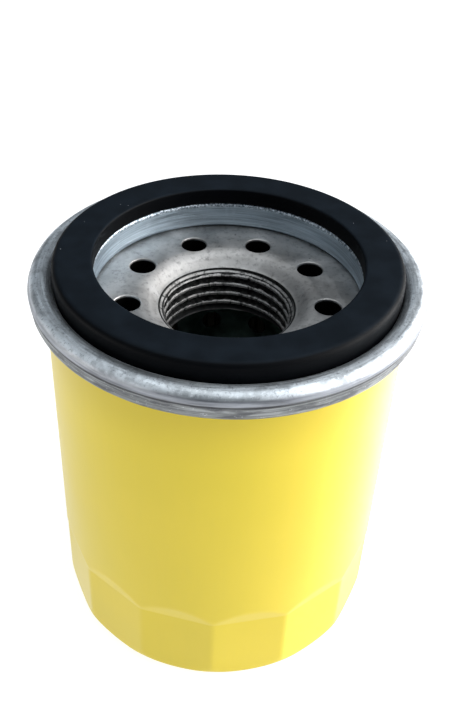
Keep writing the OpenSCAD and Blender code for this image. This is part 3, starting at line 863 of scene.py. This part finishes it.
def pleated_media():
    """Paper folded into round-nosed pleats, standing a little unevenly."""
    inner, outer = TUBE_R + 0.5 * MM, media_high.x - PAPER / 2
    step = pi / PLEATS
    half = inner * step / 2
    # One pleat's mid-line: radius, steps round from the pleat's angle, and sideways offset
    pleat = [(inner + 0.35 * MM, -1, half),
             (outer - 0.35 * MM, 0, -0.45 * MM), (outer - 0.1 * MM, 0, -0.3 * MM), (outer, 0, 0.0),
             (outer - 0.1 * MM, 0, 0.3 * MM), (outer - 0.35 * MM, 0, 0.45 * MM),
             (inner + 0.35 * MM, 1, -half), (inner + 0.08 * MM, 1, -0.6 * half), (inner, 1, 0.0),
             (inner + 0.08 * MM, 1, 0.6 * half)]
    middle = []
    for i in range(PLEATS):
        for r, steps, side in pleat:
            a = (2 * i + steps) * step
            middle.append((r * cos(a) - side * sin(a), r * sin(a) + side * cos(a)))
    p = np.array(middle)
    d = np.roll(p, -1, axis=0) - p
    n = np.stack([d[:, 1], -d[:, 0]], 1) / np.linalg.norm(d, axis=1)[:, None]
    before = np.roll(n, 1, axis=0)
    mitre = (before + n) / (1 + (before * n).sum(1))[:, None]
    count, levels = len(p), 13
    verts = []
    for z in np.linspace(media_low.z, media_high.z, levels):
        rise = (z - media_low.z) / (media_high.z - media_low.z)
        for face in (1, -1):
            x, y = (p + face * mitre * PAPER / 2).T
            around = np.arctan2(y, x)
            from_clip = 0.5 - 0.5 * np.cos(around)
            lean = 0.006 * sin(2 * pi * rise) * from_clip * np.sin(7 * around)
            verts.extend(zip(x * np.cos(lean) - y * np.sin(lean),
                             x * np.sin(lean) + y * np.cos(lean), np.full(count, z)))
    faces = []
    for level in range(levels - 1):
        low, high = 2 * count * level, 2 * count * (level + 1)
        for i in range(count):
            k = (i + 1) % count
            faces.append((low + i, low + k, high + k, high + i))
            faces.append((low + count + k, low + count + i, high + count + i, high + count + k))
    top = 2 * count * (levels - 1)
    for i in range(count):
        k = (i + 1) % count
        faces.append((i, i + count, k + count, k))
        faces.append((top + i, top + k, top + k + count, top + i + count))
    return new_object("pleated_media_folded", verts, faces, 35)


def potting(name, low, high, free):
    """A cast ring of adhesive whose free side has set slightly wavy."""
    inner, outer = TUBE_R + 0.05 * MM, CAP_R - 0.5 * MM
    outline = [(inner, low), *line((inner, low), (outer, low), 9)]
    outline += [(outer, high), *line((outer, high), (inner, high), 9)]

    def shape(angles, r, z, row):
        away_from_edges = TUBE_R + 0.3 * MM < r[0] < CAP_R - 0.8 * MM
        if away_from_edges and abs(z[0] - free) < 0.01 * MM:
            inwards = 1 if free == low else -1
            z = z + inwards * (0.1 * MM + wavy(angles, 0.03 * MM, (6, 11, 23, 48), seed=row))
        return r, z

    return lathe(name, outline, 192, shape, 50)


def bypass_seat():
    """A ring with the raised bead that the seal closes on."""
    low, top = seat_low.z + SEAT_T / 2, seat_high.z - SEAT_T / 2
    path = [(seat_high.x, low), (8.3 * MM, low), (7.4 * MM, top), (6.8 * MM, top),
            (6.1 * MM, low + 0.2 * MM)]
    return lathe("bypass_seat_pressed", sheet(rounded(path, 0.3 * MM, 5), SEAT_T), 128)


def bypass_seal():
    low, high = seal_low.z, seal_high.z
    outline = rounded([(STEM_R, low + 0.4 * MM), (STEM_R, low), (seal_high.x, low), (seal_high.x, high),
                       (STEM_R, high), (STEM_R, low + 0.6 * MM)], 0.2 * MM, 4)
    return lathe("bypass_seal_moulded", outline, 96)


def bypass_poppet():
    """A guide stem, a valve plate with a turned-up edge, and the peened rivet head that holds the seal."""
    edge_r = poppet_high.x
    low = seal_high.z
    high = low + 0.55 * MM
    edge_top = low + 0.7 * MM
    outline = [(0, poppet_low.z), *arc(2.5 * MM, seal_low.z, 0.5 * MM, -90, 0, 5), (STEM_R, seal_low.z),
               (STEM_R, low)]
    outline += rounded([(STEM_R + 0.1 * MM, low), (edge_r, low), (edge_r, edge_top),
                        (edge_r - 1.2 * MM, edge_top), (edge_r - 1.6 * MM, high),
                        (STEM_R + 0.5 * MM, high), (STEM_R, low + 0.9 * MM),
                        (STEM_R, poppet_high.z - 0.4 * MM), (STEM_R - 0.4 * MM, poppet_high.z),
                        (0, poppet_high.z)], 0.15 * MM, 4)
    return lathe("bypass_poppet_turned", outline, 96)


def bypass_cage():
    """An inverted cup with four windows that guides the stem."""
    wall = 9.2 * MM
    guide = STEM_R + 0.05 * MM
    foot, top = cage_low.z + TIN / 2, cage_high.z - TIN / 2
    path = [(cage_high.x, foot), (wall, foot), (wall, top), (guide + 1.4 * MM, top),
            (guide + 1.0 * MM, top - 0.25 * MM), (guide, top - 0.25 * MM)]
    cage = lathe("bypass_cage_pressed", sheet(rounded(path, 0.5 * MM, 6), TIN), 128)
    # A window's outline, square to the wall: four round corners, 2 mm to either side
    corner_y, corner_low, corner_high, corner_r = 2 * MM, 2.6 * MM, 6.6 * MM, 1 * MM
    window = []
    for y, z, start in ((corner_y, corner_high, 0), (-corner_y, corner_high, 90),
                        (-corner_y, corner_low, 180), (corner_y, corner_low, 270)):
        window += arc(y, cage_low.z + z, corner_r, start, start + 90, 5)
    n = len(window)
    faces = [tuple(range(n))[::-1], tuple(range(n, 2 * n))]
    faces += [(k, (k + 1) % n, n + (k + 1) % n, n + k) for k in range(n)]
    cutters = []
    for i in range(4):
        turn = i * pi / 2
        side = np.array([-sin(turn), cos(turn)])
        out = np.array([cos(turn), sin(turn)])
        verts = [(*(out * reach + side * y), z) for reach in (5.0 * MM, 12.0 * MM) for y, z in window]
        cutters.append(new_object(f"window_{i}", verts, faces))
    cut(cage, cutters)
    return cage


def spring_seat():
    collar = 12.9 * MM + SEAT_T / 2
    level = spring_seat_high.z - SEAT_T / 2
    path = [(collar, spring_seat_low.z), (collar, level), (spring_seat_high.x, level)]
    return lathe("spring_seat_pressed", sheet(rounded(path, 0.4 * MM, 5), SEAT_T), 128)


def coil(name, mean_r, wire, low, high, turns):
    """A compression spring of round wire with closed ends, ground flat."""
    sides, per_turn = 14, 44
    closed_pitch = wire * 1.03
    ground = 0.18 * wire
    free = high - low - wire + 2 * ground
    pitch = (free - 2 * closed_pitch) / (turns - 2)
    steps = round(turns * per_turn)
    verts = []
    for i in range(steps + 1):
        turn = i / per_turn
        if turn < 1:
            rise = turn * closed_pitch
        elif turn > turns - 1:
            rise = free - (turns - turn) * closed_pitch
        else:
            rise = closed_pitch + (turn - 1) * pitch
        a = 2 * pi * turn
        for k in range(sides):
            b = 2 * pi * k / sides
            r = mean_r + wire / 2 * cos(b)
            z = low + wire / 2 - ground + rise + wire / 2 * sin(b)
            verts.append((r * cos(a), r * sin(a), min(max(z, low), high)))
    faces = []
    for i in range(steps):
        ring, after = i * sides, (i + 1) * sides
        for k in range(sides):
            m = (k + 1) % sides
            faces.append((ring + k, ring + m, after + m, after + k))
    faces.append(tuple(range(sides))[::-1])
    faces.append(tuple(range(steps * sides, (steps + 1) * sides)))
    return new_object(name, verts, faces, 35)


# ---------------------------------------------------------------- stage, camera, light

def stage():
    """A pale floor that glows a little, so that it stays white round the filter."""
    half = 3.0
    floor = new_object("floor", [(-half, -half, 0), (half, -half, 0), (half, half, 0), (-half, half, 0)],
                       [(0, 1, 2, 3)])
    floor.location.z = cad_low.z - 0.05 * MM
    look = Look("floor", Roughness=0.9, Specular_IOR_Level=0.1, Emission_Strength=0.88)
    look.shader.inputs["Emission Color"].default_value = (0.97, 0.985, 1.0, 1)
    look.colour((0.34, 0.34, 0.34, 1))
    floor.data.materials.append(look.material)


def camera():
    """Stands in front (-Y) of the filter and looks down into the well."""
    back = 4.485 * GASKET_R
    up = 2.803 * GASKET_R
    pitch, yaw, roll = radians(38.07), radians(0.08), radians(2.6)
    forward = Vector((sin(yaw) * cos(pitch), cos(yaw) * cos(pitch), -sin(pitch)))
    level = forward.cross(Vector((0, 0, 1))).normalized()
    head = level.cross(forward)
    right = cos(roll) * level + sin(roll) * head
    top = cos(roll) * head - sin(roll) * level
    data = bpy.data.cameras.new("camera")
    data.lens = 47.35
    data.clip_start = 0.005
    data.clip_end = 20
    view = bpy.data.objects.new("camera", data)
    bpy.context.scene.collection.objects.link(view)
    turn = Matrix((right, top, -forward)).transposed().to_4x4()
    view.matrix_world = Matrix.Translation((0, -back, TOP + up)) @ turn
    bpy.context.scene.camera = view


def aim(light, place, target):
    lamp = bpy.data.objects.new(light.name, light)
    bpy.context.scene.collection.objects.link(lamp)
    lamp.location = place
    lamp.rotation_euler = (Vector(target) - Vector(place)).to_track_quat("-Z", "Y").to_euler()


def area_light(name, place, target, width, height, power, colour=(1, 1, 1)):
    light = bpy.data.lights.new(name, "AREA")
    light.shape = "RECTANGLE"
    light.size = width
    light.size_y = height
    light.energy = power
    light.color = colour
    aim(light, place, target)


def lights():
    """Soft boxes round a dim sky, in front of a backdrop as white as the floor."""
    world = bpy.data.worlds.new("studio")
    bpy.context.scene.world = world
    world.use_nodes = True
    nodes, links = world.node_tree.nodes, world.node_tree.links
    seen = nodes.new("ShaderNodeLightPath")
    sky = nodes.new("ShaderNodeMix")
    sky.data_type = "RGBA"
    sky.inputs[6].default_value = (0.18, 0.20, 0.22, 1)
    sky.inputs[7].default_value = (1, 1, 1, 1)
    links.new(seen.outputs["Is Camera Ray"], sky.inputs[0])
    links.new(sky.outputs[2], nodes["Background"].inputs[0])
    middle = (0, 0, 0.04)
    area_light("key_right", (0.62, 0.04, 0.26), middle, 0.80, 0.50, 9.3)
    area_light("overhead", (0.05, -0.07, 0.50), (0, -0.07, 0.04), 0.50, 0.54, 1.20, (0.92, 0.97, 1.0))
    area_light("fill_left", (-0.45, -0.16, 0.05), (0, 0, 0.03), 0.40, 0.12, 0.55, (1.0, 0.98, 0.92))
    area_light("edge_right", (0.55, 0.26, 0.06), middle, 0.34, 0.16, 1.6)
    pool = bpy.data.lights.new("floor_right", "SPOT")
    pool.energy = 42
    pool.spot_size = radians(15)
    pool.spot_blend = 0.7
    pool.shadow_soft_size = 0.03
    aim(pool, (0.30, 0.14, 0.30), (0.080, 0.030, 0))
    area_light("high_left", (-0.50, -0.09, 0.32), middle, 0.30, 0.30, 0.15, (0.90, 0.95, 1.0))
    bpy.context.scene.view_settings.view_transform = "Standard"


# ---------------------------------------------------------------- assembly

steel = bare_steel()
tin = tinplate()
wire = spring_wire()
glue = plastisol()
black = rubber("nitrile_rubber", (0.0006, 0.0010, 0.0018), (0.0052, 0.0078, 0.0112), TOP)
brown = rubber("valve_rubber", (0.006, 0.005, 0.004), (0.009, 0.0075, 0.006), valve_high.z)

housing = [
    (can_shell(), "can_shell", enamel(), "yellow_enamel"),
    (seaming_lid(), "seaming_lid", galvanised(), "galvanised_sheet"),
    (tapping_plate(), "tapping_plate", steel, "bare_steel"),
    (sealing_gasket(), "sealing_gasket", black, "nitrile_rubber"),
]
element = [
    (upper_end_cap(), "upper_end_cap", tin, "tinplate"),
    (lower_end_cap(), "lower_end_cap", tin, "tinplate"),
    (pleated_media(), "pleated_media", paper(), "filter_paper"),
    (potting("upper_potting_cast", GLUE_LOW, CAP_FACE, GLUE_LOW), "upper_potting", glue, "adhesive"),
    (potting("lower_potting_cast", FLOOR_FACE, GLUE_HIGH, GLUE_HIGH), "lower_potting", glue, "adhesive"),
    (bypass_seat(), "bypass_seat", tin, "tinplate"),
    (bypass_cage(), "bypass_cage", tin, "tinplate"),
    (spring_seat(), "spring_seat", tin, "tinplate"),
]
bypass = [
    (bypass_seal(), "bypass_seal", brown, "valve_rubber"),
    (bypass_poppet(), "bypass_poppet", steel, "bare_steel"),
]
drainback = [(drainback_valve(), "drainback_valve", brown, "valve_rubber")]
for body, members in (("housing", housing), ("element", element),
                      ("bypass", bypass), ("drainback", drainback)):
    for piece, node, look, slot in members:
        dress(piece, look)
        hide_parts(node)
        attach(piece, body)

# The springs are wound coils in place of the CAD nodes, with their transforms baked
support = coil("element_spring_wound", 14.5 * MM, 1.6 * MM, spring_low.z, spring_high.z, 3.5)
valve_spring = coil("bypass_spring_wound", 5 * MM, 0.9 * MM, bypass_spring_low.z, bypass_spring_high.z, 5)
for piece, node in ((support, "element_spring"), (valve_spring, "bypass_spring")):
    dress(piece, wire)
    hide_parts(node)
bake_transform(support)
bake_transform(valve_spring)

dress_node("seam_sealant", compound())
dress_node("centre_tube", dark_steel())
dress_node("media_seam_clip", tin)

stage()
camera()
lights()
